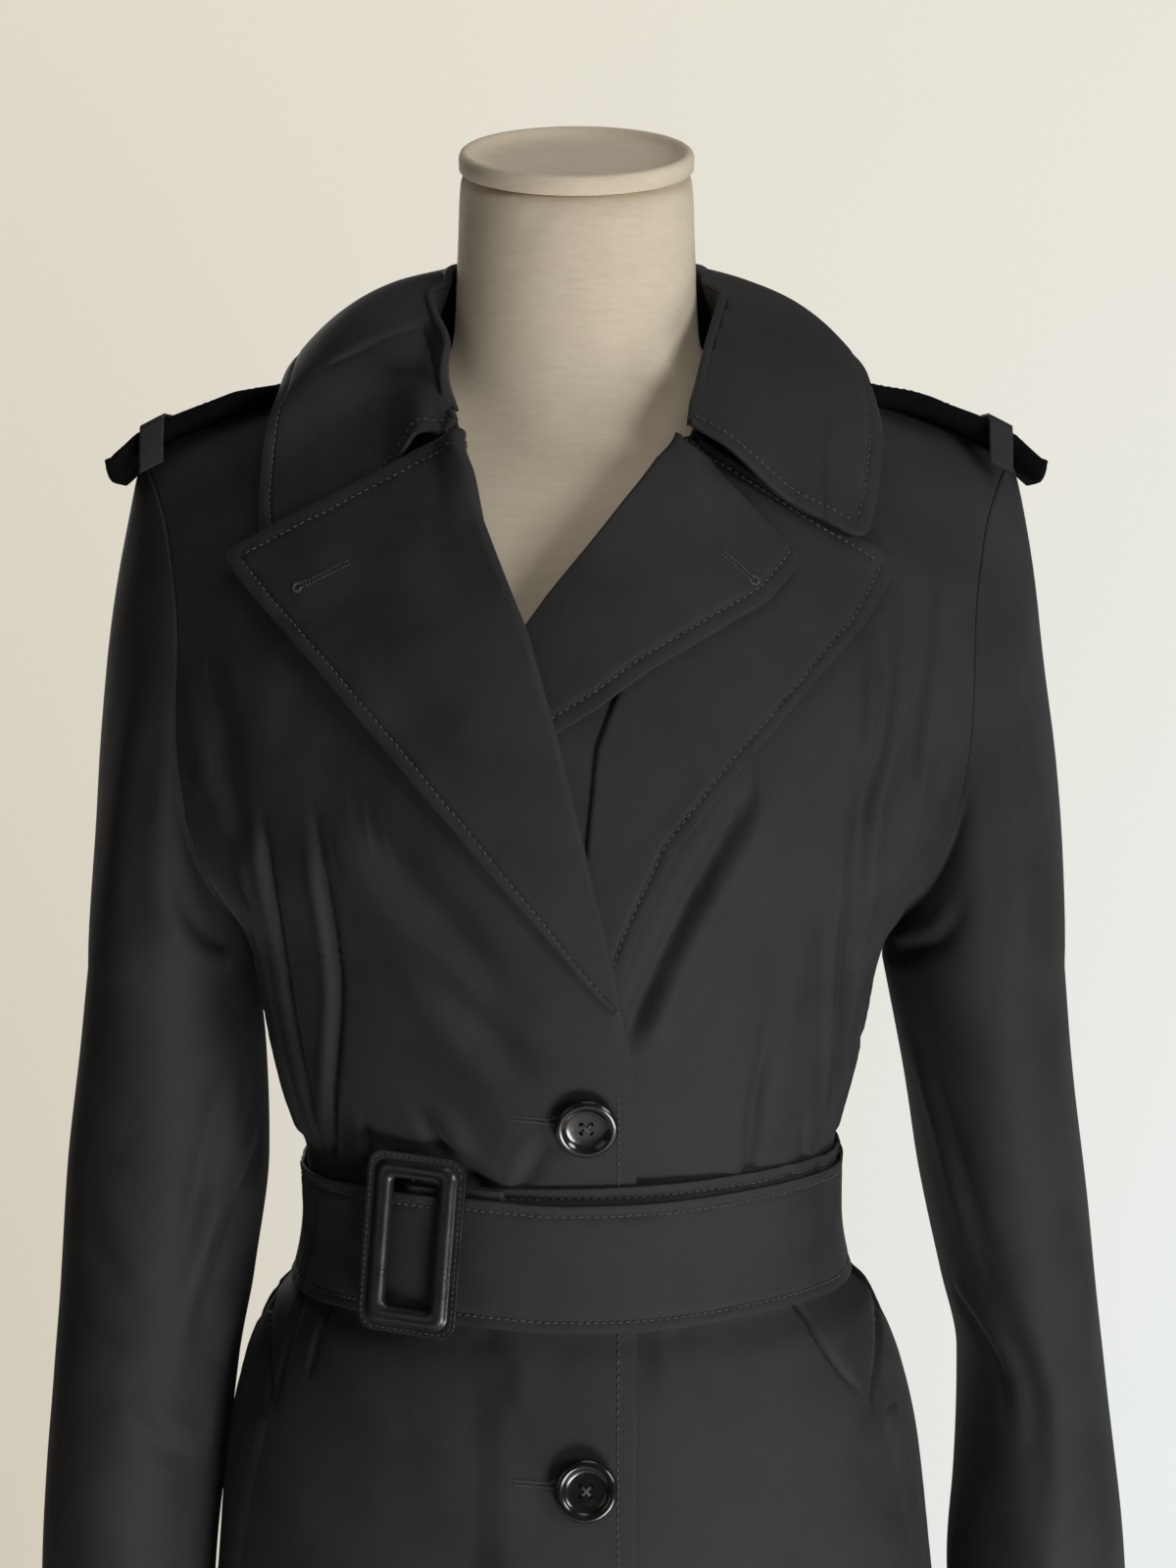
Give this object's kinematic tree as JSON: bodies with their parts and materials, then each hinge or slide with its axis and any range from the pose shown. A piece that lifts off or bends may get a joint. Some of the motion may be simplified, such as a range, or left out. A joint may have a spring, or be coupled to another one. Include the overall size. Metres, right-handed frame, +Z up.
{
  "type": "trench coat on a dress form",
  "caption": "Belted dark trench coat with wide lapels, throat flap, shoulder straps and a covered buckle, worn open at the neck by a linen dress form on a round-based stand.",
  "frame": {"origin": "centre of the underside of the stand's round base, on the surface it stands on", "axes": "+Z up along the stand's pole, the coat faces -Y, +X is the wearer's left side"},
  "size_m": [0.5314, 0.34, 1.5621],
  "materials": {
    "coat_cloth": "fine black twill with a faint satin sheen",
    "buckle_leather": "smooth black leather over a moulded ring, semi-gloss",
    "button_horn": "polished dark horn look",
    "form_linen": "natural linen cover, matte",
    "stand_metal": "satin black paint"
  },
  "bodies": {
    "root": {"back_left": "coat_cloth", "back_right": "coat_cloth", "belt": "coat_cloth", "buckle": "buckle_leather", "buckle_bar": "stand_metal", "button_1": "button_horn", "button_2": "button_horn", "button_3": "button_horn", "button_4": "button_horn", "collar": "coat_cloth", "collar_stand": "coat_cloth", "epaulette_left": "coat_cloth", "epaulette_loop_left": "coat_cloth", "epaulette_loop_right": "coat_cloth", "epaulette_right": "coat_cloth", "form_body": "form_linen", "form_neck_cap": "form_linen", "front_left": "coat_cloth", "front_right": "coat_cloth", "lapel_left": "coat_cloth", "lapel_right": "coat_cloth", "pocket_welt_left": "coat_cloth", "pocket_welt_right": "coat_cloth", "sleeve_left": "coat_cloth", "sleeve_right": "coat_cloth", "stand_base": "stand_metal", "stand_pole": "stand_metal", "throat_flap": "coat_cloth"}
  },
  "joints": []
}
